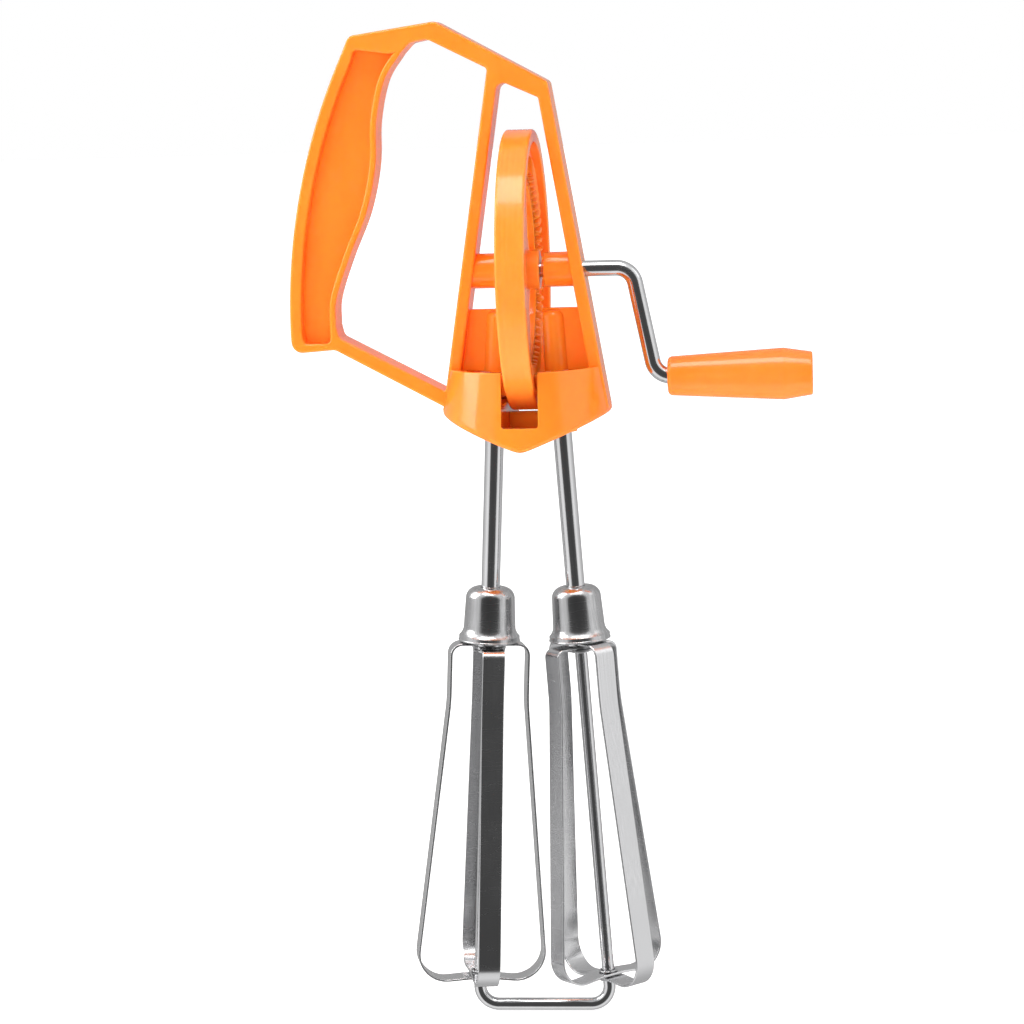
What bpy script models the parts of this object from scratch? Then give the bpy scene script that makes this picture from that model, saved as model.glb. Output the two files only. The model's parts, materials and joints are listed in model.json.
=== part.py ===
"""Hand-cranked egg beater: a moulded frame with a hand grip, a two-faced crown gear wheel
on a bent crank, and two counter-turning beaters on a fixed U-shaped guide wire.

The object's origin is the middle of the hand grip. +Z is up, the crank leaves towards +X,
and the frame is the same on its -Y and +Y sides. Everything hangs from an empty on the
crank's axis, and each turning assembly hangs from an empty on its own axis.
"""

import math

import bmesh
import bpy
from mathutils import Matrix, Vector

MM = 0.001
GAP = 0.3 * MM  # left between neighbouring pieces

# Where the crank's axis is, seen from the middle of the grip.
CRANK_AXIS = Vector((59 * MM, 0, -26 * MM))

# Frame. Its struts spread downwards, the same on both sides of the wheel.
FRAME_HALF_DEPTH = 7 * MM
WEB_HALF_DEPTH = 1.25 * MM
STRUT_OUTER_X = 19.2 * MM
STRUT_OUTER_SLOPE = 0.161
STRUT_INNER_X = 15.3 * MM
STRUT_INNER_SLOPE = 0.16
WEB_TOP_Z = -12 * MM
GRIP_BACK_CENTRE = Vector((122 * MM, -16 * MM))
GRIP_BACK_RADIUS = 196 * MM
GRIP_BACK_RIM = 3.6 * MM
GRIP_FINGER_RIM = 2 * MM
BOSS_RADIUS = 5.5 * MM
BOSS_START = 6.6 * MM
BOSS_END = 17.2 * MM
DOME_RADIUS = 3.8 * MM
DOME_ROUND = 2 * MM
DOME_TOP = 12.7 * MM

# Gear housing at the frame's foot: an open cup, slightly conical, with a V-shaped floor.
CUP_TOP_Z = -30.3 * MM
CUP_TOP_RADIUS = 24.4 * MM
CUP_SLOPE = 0.177
CUP_WALL = 2 * MM
CUP_CORNER_Z = -44.5 * MM
CUP_TIP_Z = -55.2 * MM
WHEEL_SLOT_HALF = 5.75 * MM
WHEEL_SLOT_FLOOR_Z = -47.4 * MM
WELL_CLEARANCE = 0.8 * MM

# Gear wheel, turning about X.
WHEEL_RADIUS = 44 * MM
WHEEL_HALF_WIDTH = 4.5 * MM
RIM_THICKNESS = 4 * MM
WHEEL_WEB_HALF = 1 * MM
HUB_RADIUS = 6.2 * MM
HUB_HALF_LENGTH = 5.3 * MM
WHEEL_TEETH = 66
CROWN_INNER_RADIUS = 30.4 * MM
CROWN_OUTER_RADIUS = 36 * MM
CROWN_TOOTH_TIP_X = 3 * MM
SPOKES = 4
SPOKE_HALF_WIDTH = 5 * MM
WINDOW_INNER_RADIUS = 11 * MM
WINDOW_OUTER_RADIUS = 27.5 * MM
TOOTH_FOOT_HALF = 0.95 * MM
TOOTH_TIP_HALF = 0.4 * MM
TOOTH_SINK = 0.2 * MM

# Pinions and beater shafts. A shaft's axis leans out by SHAFT_LEAN from the vertical, and
# distances along it are counted downwards from the crank axis's level.
PINION_TEETH = 15
PINION_TIP_RADIUS = 8.3 * MM
PINION_ROOT_RADIUS = 6.2 * MM
PINION_TOP = 32.6 * MM
PINION_BOTTOM = 38.8 * MM
PINION_SPACE_RADIUS = 9.2 * MM
PINION_SPACE_TOP = 31.8 * MM
SHAFT_TOP_X = 7.85 * MM
SHAFT_LEAN = math.atan(0.057)
TUBE_RADIUS = 3 * MM
TUBE_BORE = 2.35 * MM
TUBE_BOTTOM = 122.5 * MM
BUSH_RADIUS = 4.8 * MM
BUSH_TOP = 40.2 * MM
BUSH_BOTTOM = 51.5 * MM
WASHER_THICKNESS = 0.7 * MM

# Guide wire: one rod bent into a U, inside both tubes.
WIRE_RADIUS = 2 * MM
WIRE_TOP = 15.6 * MM
WIRE_BAR_Z = -238.2 * MM
WIRE_BEND = 6 * MM

# Ferrules and blade loops.
FERRULE_TOP = 101 * MM
FERRULE_BOTTOM = 118.6 * MM
FERRULE_RADIUS = 7.9 * MM
FERRULE_SHOULDER = 3.4 * MM
FERRULE_WAIST_RADIUS = 8.3 * MM
FERRULE_WAIST = 113.6 * MM
FERRULE_FLARE = 4 * MM
FERRULE_FOOT_RADIUS = 9.9 * MM
SHEET = 0.8 * MM  # thickness of the blades' and ferrules' steel
BLADE_HALF_WIDTH = 3.6 * MM
BLADE_TOP = 118.9 * MM
BLADE_WAIST = 138 * MM
BLADE_FOOT = 229.6 * MM
BLADE_FOOT_HALF = 4 * MM
BLADE_LOWEST = 231.2 * MM
BLADE_SHOULDER_X = 12.9 * MM
BLADE_WAIST_X = 12.9 * MM
BLADE_BELLY_X = 21.9 * MM
BLADE_SHOULDER_BEND = 4 * MM
BLADE_WAIST_BEND = 70 * MM
BLADE_BELLY_BEND = 9.5 * MM
EYE_RADIUS = 5.4 * MM
CLAMP_RADIUS = 5.2 * MM
EYELET_RADIUS = 2.6 * MM
EYELET_FLANGE = 3.2 * MM
LEFT_BLADE_ANGLE = math.radians(104.4)
RIGHT_BLADE_ANGLE = math.radians(41)

# Crank and its knob.
CRANK_RADIUS = 2.5 * MM
CRANK_INNER_END = -14 * MM
CRANK_ELBOW = Vector((34.1 * MM, 0))
CRANK_BEND = 6 * MM
KNOB_AXIS_X = 40.9 * MM
KNOB_AXIS_Z = -34.4 * MM
KNOB_INNER_END = 44.7 * MM
KNOB_WIDEST = 81 * MM
KNOB_OUTER_END = 90.1 * MM

ORANGE = (1.0, 0.27, 0.03)
STEEL = (0.62, 0.62, 0.63)
BRIGHT_STEEL = (0.78, 0.78, 0.79)

ALONG_X = (0, math.pi / 2, 0)


# ---------------------------------------------------------------- scene and materials


def clear_scene():
    for obj in list(bpy.data.objects):
        bpy.data.objects.remove(obj, do_unlink=True)


def new_collection(name):
    collection = bpy.data.collections.new(name)
    bpy.context.scene.collection.children.link(collection)
    return collection


def new_material(name, color, roughness, metallic):
    material = bpy.data.materials.new(name)
    material.use_nodes = True
    shader = material.node_tree.nodes["Principled BSDF"]
    shader.inputs["Base Color"].default_value = (*color, 1)
    shader.inputs["Roughness"].default_value = roughness
    shader.inputs["Metallic"].default_value = metallic
    return material


def new_empty(name, location, rotation=(0, 0, 0), parent=None):
    empty = bpy.data.objects.new(name, None)
    PARTS.objects.link(empty)
    empty.location = location
    empty.rotation_euler = rotation
    empty.parent = parent
    return empty


def place(obj, collection, parent, location=(0, 0, 0), rotation=(0, 0, 0)):
    collection.objects.link(obj)
    obj.parent = parent
    obj.location = location
    obj.rotation_euler = rotation
    if collection is CUTTERS:
        obj.hide_render = True
        obj.display_type = "WIRE"
    return obj


def finish(obj, material):
    """Give a piece its material and its smooth shading."""
    obj.data.materials.append(material)
    if obj.type == "MESH":
        obj.data.shade_smooth()
        obj.data.set_sharp_from_angle(angle=math.radians(35))


# ---------------------------------------------------------------- shapes


def arc(centre, radius, start, end, steps):
    """Points on an arc of the plane, from the angle start to the angle end."""
    points = []
    for step in range(steps + 1):
        angle = start + (end - start) * step / steps
        points.append(centre + radius * Vector((math.cos(angle), math.sin(angle))))
    return points


def rounded(corners, steps=4):
    """An outline's points, from its corners as (x, z, radius)."""
    points = []
    for index, (x, z, radius) in enumerate(corners):
        corner = Vector((x, z))
        before = (Vector(corners[index - 1][:2]) - corner).normalized()
        after = (Vector(corners[(index + 1) % len(corners)][:2]) - corner).normalized()
        if radius == 0:
            points.append(corner)
            continue
        half_angle = before.angle(after) / 2
        reach = radius / math.tan(half_angle)
        centre = corner + (before + after).normalized() * radius / math.sin(half_angle)
        first = corner + before * reach - centre
        last = corner + after * reach - centre
        turn = first.angle_signed(last)
        start = math.atan2(first.y, first.x)
        points += arc(centre, radius, start, start - turn, steps)
    return points


def smooth_through(points, steps):
    """A Catmull-Rom curve through the points."""
    ends = [2 * points[0] - points[1], *points, 2 * points[-1] - points[-2]]
    curve = []
    for a, b, c, d in zip(ends, ends[1:], ends[2:], ends[3:]):
        for step in range(steps):
            t = step / steps
            middle = (c - a) * t + (2 * a - 5 * b + 4 * c - d) * t**2
            curve.append(b + 0.5 * (middle + (3 * b - 3 * c + d - a) * t**3))
    return curve + [points[-1]]


def moved_aside(points, distance):
    """An open line's points, each moved to the line's left by the distance."""
    moved = []
    for index, point in enumerate(points):
        before = points[max(index - 1, 0)]
        after = points[min(index + 1, len(points) - 1)]
        along = (after - before).normalized()
        moved.append(point + distance * Vector((-along.y, along.x)))
    return moved


def mesh_from_curve(name, curve):
    """A curve's mesh, with its caps joined to its sides."""
    source = bpy.data.objects.new(name, curve)
    bpy.context.scene.collection.objects.link(source)
    evaluated = source.evaluated_get(bpy.context.evaluated_depsgraph_get())
    mesh = bpy.data.meshes.new_from_object(evaluated)
    bpy.data.objects.remove(source)
    edit = bmesh.new()
    edit.from_mesh(mesh)
    bmesh.ops.remove_doubles(edit, verts=edit.verts, dist=0.001 * MM)
    bmesh.ops.recalc_face_normals(edit, faces=edit.faces)
    edit.to_mesh(mesh)
    edit.free()
    return mesh


def plate(name, outlines, half_depth):
    """A flat piece in the XZ plane, centred on Y = 0. Outlines inside the first are holes."""
    curve = bpy.data.curves.new(name, "CURVE")
    curve.dimensions = "2D"
    curve.fill_mode = "BOTH"
    curve.extrude = half_depth
    for outline in outlines:
        spline = curve.splines.new("POLY")
        spline.points.add(len(outline) - 1)
        for point, (x, z) in zip(spline.points, outline):
            point.co = (x, z, 0, 1)
        spline.use_cyclic_u = True
    mesh = mesh_from_curve(name, curve)
    mesh.transform(Matrix.Rotation(math.pi / 2, 4, "X"))
    return bpy.data.objects.new(name, mesh)


def bent_rod(name, path, radius):
    """A round rod along points of the XZ plane."""
    curve = bpy.data.curves.new(name, "CURVE")
    curve.dimensions = "3D"
    curve.bevel_depth = radius
    curve.bevel_resolution = 4
    curve.use_fill_caps = True
    spline = curve.splines.new("POLY")
    spline.points.add(len(path) - 1)
    for point, (x, z) in zip(spline.points, path):
        point.co = (x, 0, z, 1)
    return bpy.data.objects.new(name, mesh_from_curve(name, curve))


def turned(name, profile, steps=32, closed=False):
    """A solid turned about Z from (radius, z) points, from the top down on its outer side."""
    mesh = bpy.data.meshes.new(name)
    edges = [(i, i + 1) for i in range(len(profile) - 1)]
    if closed:
        edges.append((len(profile) - 1, 0))
    mesh.from_pydata([(radius, 0, z) for radius, z in profile], edges, [])
    obj = bpy.data.objects.new(name, mesh)
    screw = obj.modifiers.new("Turn", "SCREW")
    screw.steps = steps
    screw.render_steps = steps
    screw.use_merge_vertices = True
    screw.merge_threshold = 0.001 * MM
    screw.use_smooth_shade = True
    return obj


def ring(name, outer, inner, top, bottom, steps=24):
    """A plain tube or washer about Z."""
    profile = [(inner, top), (outer, top), (outer, bottom), (inner, bottom)]
    return turned(name, profile, steps, closed=True)


def cylinder(name, radius, top, bottom, steps=24, top_radius=None):
    """A plain cylinder or cone about Z."""
    edit = bmesh.new()
    bmesh.ops.create_cone(
        edit,
        cap_ends=True,
        segments=steps,
        radius1=radius,
        radius2=radius if top_radius is None else top_radius,
        depth=top - bottom,
        matrix=Matrix.Translation((0, 0, (top + bottom) / 2)),
    )
    mesh = bpy.data.meshes.new(name)
    edit.to_mesh(mesh)
    edit.free()
    return bpy.data.objects.new(name, mesh)


def block(name, low, high):
    """A box between two corners."""
    low, high = Vector(low), Vector(high)
    edit = bmesh.new()
    bmesh.ops.create_cube(edit, size=1)
    bmesh.ops.scale(edit, vec=high - low, verts=edit.verts)
    bmesh.ops.translate(edit, vec=(low + high) / 2, verts=edit.verts)
    mesh = bpy.data.meshes.new(name)
    edit.to_mesh(mesh)
    edit.free()
    return bpy.data.objects.new(name, mesh)


def combine(obj, others, operation):
    for other in others:
        boolean = obj.modifiers.new(other.name, "BOOLEAN")
        boolean.operation = operation
        boolean.solver = "EXACT"
        boolean.object = other


# ---------------------------------------------------------------- frame


def strut_outer(z):
    return STRUT_OUTER_X - STRUT_OUTER_SLOPE * z


def strut_inner(z):
    return STRUT_INNER_X - STRUT_INNER_SLOPE * z


def cup_radius(z):
    return CUP_TOP_RADIUS + CUP_SLOPE * (CUP_TOP_Z - z)


def grip_back(rim, bottom_z, top_z):
    """The grip's back edge, from its foot up, moved in by rim."""
    radius = GRIP_BACK_RADIUS - rim
    low = math.pi - math.asin((bottom_z - GRIP_BACK_CENTRE.y) / radius)
    high = math.pi - math.asin((top_z - GRIP_BACK_CENTRE.y) / radius)
    return arc(GRIP_BACK_CENTRE, radius, low, high, 14)


def finger_edge():
    """The grip's S-shaped front edge, from the top down."""
    knots = ((-36, 68.6), (-41.2, 60.6), (-44.2, 48), (-45, 34), (-48.4, 19.4))
    knots += ((-54.4, 5.3), (-58.9, -7.5), (-59.4, -16))
    return smooth_through([Vector(knot) * MM for knot in knots], 4)


def frame_outline():
    inside_cup = Vector((0, GAP))
    corner = Vector((strut_outer(CUP_CORNER_Z), CUP_CORNER_Z)) + inside_cup
    tip = Vector((0, CUP_TIP_Z)) + inside_cup
    bar_z = -42.1 * MM
    back = grip_back(0, -20 * MM, 69 * MM)
    head = rounded(
        [
            (*back[-1], 0),
            (-52.2 * MM, 74.5 * MM, 3 * MM),
            (-25 * MM, 78.2 * MM, 3 * MM),
            (strut_outer(58.7 * MM), 58.7 * MM, 2 * MM),
            (*corner, 2 * MM),
            (*tip, 2 * MM),
            (-corner.x, corner.y, 2 * MM),
            (-strut_outer(bar_z), bar_z, 0),
            (-60 * MM, -23.5 * MM, 3 * MM),
            (-73.4 * MM, -24.4 * MM, 3.4 * MM),
            (*back[0], 0),
        ]
    )
    return back + head[1:-1]


def hand_opening():
    bar_x = -strut_outer(-36.9 * MM)
    tail = rounded(
        [
            (-59.4 * MM, -16 * MM, 0),
            (-58.6 * MM, -19.6 * MM, 2.4 * MM),
            (bar_x, -37.4 * MM, 0.8 * MM),
            (-strut_outer(63.2 * MM), 63.2 * MM, 1.2 * MM),
            (-27.6 * MM, 72.8 * MM, 4 * MM),
            (-33 * MM, 71.8 * MM, 3 * MM),
            (-36 * MM, 68.6 * MM, 0),
        ]
    )
    return finger_edge()[:-1] + tail[:-1]


def wheel_bay():
    corners = [
        (-strut_inner(58.9 * MM), 59.6 * MM, 2.4 * MM),
        (strut_inner(53.8 * MM), 53.8 * MM, 1 * MM),
        (strut_inner(WEB_TOP_Z), WEB_TOP_Z, 0.8 * MM),
        (-strut_inner(WEB_TOP_Z), WEB_TOP_Z, 0.8 * MM),
    ]
    return rounded(corners, 3)


def grip_recess():
    """The channel in each side of the grip."""
    back = grip_back(GRIP_BACK_RIM, -17 * MM, 66 * MM)
    front = moved_aside(finger_edge(), -GRIP_FINGER_RIM)
    corners = rounded(
        [
            (*back[-1], 0),
            (-50.6 * MM, 70.2 * MM, 1 * MM),
            (-40 * MM, 68.6 * MM, 1.2 * MM),
            (*front[1], 0),
        ]
    )
    foot = rounded(
        [
            (*front[-1], 0),
            (-61.3 * MM, -21.4 * MM, 1.4 * MM),
            (-69.9 * MM, -21.4 * MM, 1.4 * MM),
            (*back[0], 0),
        ]
    )
    return back + corners[1:-1] + front[1:] + foot[1:-1]


def strut_recess():
    """The space on each side of the web between the struts."""
    low = CUP_TIP_Z - 5 * MM
    return [
        (-strut_inner(WEB_TOP_Z) + 0.1 * MM, WEB_TOP_Z + 1 * MM),
        (strut_inner(WEB_TOP_Z) - 0.1 * MM, WEB_TOP_Z + 1 * MM),
        (strut_inner(low), low),
        (-strut_inner(low), low),
    ]


def cup_profile(inset):
    """The housing seen from the front, with its V-shaped floor moved up by inset."""
    wide = CUP_TOP_RADIUS * 1.4
    top = CUP_TOP_Z + (0 if inset == 0 else 5 * MM)
    corner_x = strut_outer(CUP_CORNER_Z)
    slope = (CUP_CORNER_Z - CUP_TIP_Z) / corner_x
    edge_z = CUP_TIP_Z + slope * wide + inset
    corners = [
        (-wide, top, 0),
        (wide, top, 0),
        (wide, edge_z, 0),
        (0, CUP_TIP_Z + inset, 2 * MM),
        (-wide, edge_z, 0),
    ]
    return rounded(corners)


def cup_solid(name, inset, material_below):
    top = CUP_TOP_Z + (0 if inset == 0 else 2 * MM)
    bottom = CUP_TIP_Z - material_below
    body = cylinder(
        name, cup_radius(bottom) - inset, top, bottom, 48, cup_radius(top) - inset
    )
    profile = plate(name + "_profile", [cup_profile(inset)], 40 * MM)
    place(profile, CUTTERS, CRANK)
    combine(body, [profile], "INTERSECT")
    return place(body, CUTTERS, CRANK)


def recessed(frame):
    """Cut the grip's and the struts' recesses into both sides, down to the web."""
    beyond = 1 * MM
    depth = FRAME_HALF_DEPTH - WEB_HALF_DEPTH + beyond
    middle = WEB_HALF_DEPTH + depth / 2
    for side, sign in (("front", -1), ("back", 1)):
        for label, outline in (("grip", grip_recess()), ("strut", strut_recess())):
            recess = plate(f"{side}_{label}_recess", [outline], depth / 2)
            place(recess, CUTTERS, CRANK, (0, sign * middle, 0))
            combine(frame, [recess], "DIFFERENCE")


def crank_boss(side, sign):
    boss = cylinder(f"{side}_boss", BOSS_RADIUS, BOSS_END, BOSS_START, 32)
    return place(boss, CUTTERS, CRANK, rotation=(0, sign * math.pi / 2, 0))


def wire_dome(side, shaft):
    """The round-topped post that holds one end of the guide wire."""
    corner = Vector((DOME_RADIUS - DOME_ROUND, -DOME_TOP - DOME_ROUND))
    shoulder = arc(corner, DOME_ROUND, math.pi / 2, 0, 4)
    foot = [(DOME_RADIUS, -PINION_TOP), (0, -PINION_TOP)]
    dome = turned(f"{side}_dome", [(0, -DOME_TOP), *shoulder, *foot])
    return place(dome, CUTTERS, shaft)


def shaft_bores(side, shaft):
    """The spaces for the pinion, the tube and the wire's end."""
    bores = [
        cylinder(
            f"{side}_pinion_space", PINION_SPACE_RADIUS, -PINION_SPACE_TOP, -BUSH_TOP
        ),
        cylinder(
            f"{side}_tube_bore", TUBE_RADIUS + GAP, 1 * MM - BUSH_TOP, -BUSH_BOTTOM - 9 * MM
        ),
        cylinder(f"{side}_wire_bore", WIRE_RADIUS + GAP, GAP - WIRE_TOP, -PINION_TOP),
    ]
    return [place(bore, CUTTERS, shaft) for bore in bores]


def well_web():
    """The middle web under the wheel, a little higher than the slot's floor."""
    wide = WHEEL_SLOT_HALF + 1 * MM
    low = WHEEL_SLOT_FLOOR_Z - 1 * MM
    high = -WHEEL_RADIUS - WELL_CLEARANCE
    web = block("well_web", (-wide, -WEB_HALF_DEPTH, low), (wide, WEB_HALF_DEPTH, high))
    return place(web, CUTTERS, CRANK)


def make_frame():
    outlines = [frame_outline(), hand_opening(), wheel_bay()]
    frame = plate("frame", outlines, FRAME_HALF_DEPTH)
    place(frame, PARTS, CRANK)
    recessed(frame)
    cup = cup_solid("cup", 0, 2 * MM)
    combine(cup, [cup_solid("cup_hollow", CUP_WALL, 1 * MM)], "DIFFERENCE")
    combine(frame, [cup], "UNION")
    for side, sign, shaft in (("left", -1, LEFT_SHAFT), ("right", 1, RIGHT_SHAFT)):
        bush = cylinder(f"{side}_bush", BUSH_RADIUS, -BUSH_TOP, -BUSH_BOTTOM)
        place(bush, CUTTERS, shaft)
        posts = [bush, crank_boss(side, sign), wire_dome(side, shaft)]
        combine(frame, posts, "UNION")
        combine(frame, shaft_bores(side, shaft), "DIFFERENCE")
    slot_length = 30 * MM
    slot = block(
        "wheel_slot",
        (-WHEEL_SLOT_HALF, -slot_length, WHEEL_SLOT_FLOOR_Z),
        (WHEEL_SLOT_HALF, slot_length, WEB_TOP_Z + 2 * MM),
    )
    place(slot, CUTTERS, CRANK)
    crank_bore = cylinder(
        "crank_bore", CRANK_RADIUS + GAP, 24 * MM, CRANK_INNER_END - GAP
    )
    place(crank_bore, CUTTERS, CRANK, rotation=ALONG_X)
    combine(frame, [slot, crank_bore], "DIFFERENCE")
    combine(frame, [well_web()], "UNION")
    finish(frame, MOULDED)


# ---------------------------------------------------------------- gears


def wheel_window(index):
    """One of the openings between the wheel's spokes, as a cutter."""
    quarter = 2 * math.pi / SPOKES
    sides = []
    for radius in (WINDOW_INNER_RADIUS, WINDOW_OUTER_RADIUS):
        edge = math.asin(SPOKE_HALF_WIDTH / radius)
        sides.append(arc(Vector((0, 0)), radius, edge, quarter - edge, 6))
    outline = sides[0] + sides[1][::-1]
    window = plate(f"wheel_window_{index}", [outline], 3 * WHEEL_WEB_HALF)
    rotation = (0, index * quarter, math.pi / 2)
    return place(window, CUTTERS, CRANK, rotation=rotation)


def add_crown_tooth(edit, angle, face):
    """One tapered tooth on one face of the web, its foot sunk a little into the web."""
    length = CROWN_OUTER_RADIUS - CROWN_INNER_RADIUS
    height = CROWN_TOOTH_TIP_X - WHEEL_WEB_HALF + TOOTH_SINK
    tooth = bmesh.ops.create_cone(
        edit,
        cap_ends=True,
        segments=4,
        radius1=TOOTH_FOOT_HALF * math.sqrt(2),
        radius2=TOOTH_TIP_HALF * math.sqrt(2),
        depth=height,
        matrix=Matrix.Rotation(math.pi / 4, 4, "Z"),
    )["verts"]
    for vertex in tooth:
        half = TOOTH_FOOT_HALF if vertex.co.z < 0 else TOOTH_TIP_HALF
        vertex.co.x *= length / 2 / half
    lift = Matrix.Translation((0, 0, CROWN_TOOTH_TIP_X - height / 2))
    flip = Matrix.Rotation(face * math.pi / 2, 4, "Y")
    out = Matrix.Translation((0, 0, -CROWN_INNER_RADIUS - length / 2))
    turn = Matrix.Rotation(angle, 4, "X")
    bmesh.ops.transform(edit, matrix=turn @ out @ flip @ lift, verts=tooth)


def crown_teeth():
    """All the crown teeth, on both faces of the wheel's web."""
    edit = bmesh.new()
    for tooth in range(WHEEL_TEETH):
        for face in (-1, 1):
            add_crown_tooth(edit, 2 * math.pi * tooth / WHEEL_TEETH, face)
    mesh = bpy.data.meshes.new("crown_teeth")
    edit.to_mesh(mesh)
    edit.free()
    return place(bpy.data.objects.new("crown_teeth", mesh), CUTTERS, CRANK)


def make_gear_wheel():
    rim_inner = WHEEL_RADIUS - RIM_THICKNESS
    edge = 0.6 * MM
    profile = [
        (HUB_RADIUS, HUB_HALF_LENGTH),
        (HUB_RADIUS, WHEEL_WEB_HALF),
        (rim_inner, WHEEL_WEB_HALF),
        (rim_inner, WHEEL_HALF_WIDTH),
        (WHEEL_RADIUS - edge, WHEEL_HALF_WIDTH),
        (WHEEL_RADIUS, WHEEL_HALF_WIDTH - edge),
    ]
    lower = [(radius, -x) for radius, x in reversed(profile)]
    bore = CRANK_RADIUS + GAP
    bore_ends = [(bore, -HUB_HALF_LENGTH), (bore, HUB_HALF_LENGTH)]
    wheel = turned("gear_wheel", profile + lower + bore_ends, WHEEL_TEETH, closed=True)
    place(wheel, PARTS, CRANK, rotation=ALONG_X)
    combine(wheel, [wheel_window(index) for index in range(SPOKES)], "DIFFERENCE")
    combine(wheel, [crown_teeth()], "UNION")
    finish(wheel, MOULDED_GEAR)


def pinion_outline():
    """Tooth by tooth, with a gap between teeth in the direction of angle 0."""
    pitch = 2 * math.pi / PINION_TEETH
    outline = []
    for tooth in range(PINION_TEETH):
        middle = (tooth + 0.5) * pitch
        for radius, half_width in (
            (PINION_ROOT_RADIUS, -1 * MM),
            (PINION_TIP_RADIUS, -0.36 * MM),
            (PINION_TIP_RADIUS, 0.36 * MM),
            (PINION_ROOT_RADIUS, 1 * MM),
        ):
            angle = middle + half_width / radius
            outline.append(radius * Vector((math.cos(angle), math.sin(angle))))
    return outline


def make_pinion(side, shaft, mesh_direction):
    bore = arc(Vector((0, 0)), TUBE_RADIUS + GAP, 0, 2 * math.pi, 24)[:-1]
    half_height = (PINION_BOTTOM - PINION_TOP) / 2
    pinion = plate(f"{side}_pinion", [pinion_outline(), bore], half_height)
    pinion.data.transform(Matrix.Rotation(-math.pi / 2, 4, "X"))
    middle = -(PINION_TOP + PINION_BOTTOM) / 2
    place(pinion, PARTS, shaft, (0, 0, middle), (0, 0, mesh_direction))
    finish(pinion, PINION_PLASTIC)


# ---------------------------------------------------------------- crank


def elbow(before, corner, after, radius, steps):
    """The points of one rounded bend of a rod."""
    corners = [(*before, 0), (*corner, radius), (*after, 0)]
    return rounded(corners, steps)[1:-1]


def make_crank():
    start = Vector((CRANK_INNER_END, 0))
    lower_elbow = Vector((KNOB_AXIS_X, KNOB_AXIS_Z))
    end = Vector((KNOB_OUTER_END - 4.6 * MM, KNOB_AXIS_Z))
    path = [start, Vector((0, 0)), Vector((24 * MM, 0))]
    path += elbow(start, CRANK_ELBOW, lower_elbow, CRANK_BEND, 8)
    path += elbow(CRANK_ELBOW, lower_elbow, end, CRANK_BEND, 8)
    path.append(end)
    rod = bent_rod("crank_rod", path, CRANK_RADIUS)
    place(rod, PARTS, CRANK)
    finish(rod, STEEL_ROD)

    nut = ring("knob_push_nut", 4.4 * MM, CRANK_RADIUS + GAP, 0.35 * MM, -0.35 * MM)
    place(nut, PARTS, KNOB, (KNOB_OUTER_END - 6.6 * MM, 0, 0), ALONG_X)
    finish(nut, SPRING_STEEL)


def make_knob():
    """The knob turns freely on the rod's end. Its profile runs along X, outer end first."""
    well, well_floor = 5.2 * MM, KNOB_OUTER_END - 7.4 * MM
    bore = CRANK_RADIUS + GAP
    profile = [
        (well, KNOB_OUTER_END),
        (6.4 * MM, KNOB_OUTER_END),
        (6.7 * MM, KNOB_OUTER_END - 0.3 * MM),
        (8.15 * MM, KNOB_WIDEST),
        (6.15 * MM, KNOB_INNER_END + 0.7 * MM),
        (5.5 * MM, KNOB_INNER_END),
        (bore, KNOB_INNER_END),
        (bore, well_floor),
        (well, well_floor),
    ]
    knob = turned("crank_knob", profile, 32, closed=True)
    place(knob, PARTS, KNOB, rotation=ALONG_X)
    finish(knob, MOULDED_KNOB)

    cap = turned(
        "knob_end_cap",
        [
            (0, KNOB_OUTER_END),
            (well - GAP, KNOB_OUTER_END - 0.3 * MM),
            (well - GAP, KNOB_OUTER_END - 2.4 * MM),
            (0, KNOB_OUTER_END - 2.4 * MM),
        ],
        24,
    )
    place(cap, PARTS, KNOB, rotation=ALONG_X)
    finish(cap, MOULDED_KNOB)


# ---------------------------------------------------------------- beaters


def make_tube(side, shaft):
    tube = ring(
        f"{side}_tube", TUBE_RADIUS, TUBE_BORE, -PINION_TOP - 0.2 * MM, -TUBE_BOTTOM
    )
    place(tube, PARTS, shaft)
    finish(tube, POLISHED_TUBE)


def make_washers(side, shaft):
    """The washer that the pinion runs on, and the one that holds the blades up."""
    bore = TUBE_RADIUS + GAP
    top = -PINION_BOTTOM - GAP
    thrust = ring(f"{side}_thrust_washer", BUSH_RADIUS, bore, top, top - WASHER_THICKNESS)
    place(thrust, PARTS, shaft)
    finish(thrust, SPRING_STEEL)
    top = -BLADE_TOP - 2 * SHEET - 2 * GAP
    clamp = ring(f"{side}_clamp_washer", CLAMP_RADIUS, bore, top, top - WASHER_THICKNESS)
    place(clamp, PARTS, shaft)
    finish(clamp, SPRING_STEEL)


def ferrule_outside():
    """(radius, z) points of the ferrule's outer skin, from the top hole down."""
    top = Vector((FERRULE_RADIUS, -FERRULE_TOP))
    shoulder = arc(top - FERRULE_SHOULDER * Vector((1, 1)), FERRULE_SHOULDER, math.pi / 2, 0, 4)
    flare_centre = Vector((FERRULE_WAIST_RADIUS + FERRULE_FLARE, -FERRULE_WAIST))
    flare = arc(flare_centre, FERRULE_FLARE, math.pi, math.radians(230), 3)
    foot = Vector((FERRULE_FOOT_RADIUS, -FERRULE_BOTTOM))
    return [*shoulder, *flare, foot + Vector((0, 1 * MM)), foot]


def make_ferrule(side, shaft):
    """A drawn bell: one skin of even thickness, open at its foot."""
    hole = TUBE_RADIUS + GAP
    outside = [Vector((hole, -FERRULE_TOP)), *ferrule_outside()]
    inside = moved_aside(outside, -SHEET)
    inside[0].x = hole
    inside[-1].y = -FERRULE_BOTTOM
    ferrule = turned(f"{side}_ferrule", outside + inside[::-1], 24, closed=True)
    place(ferrule, PARTS, shaft)
    finish(ferrule, DRAWN_STEEL)


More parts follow.
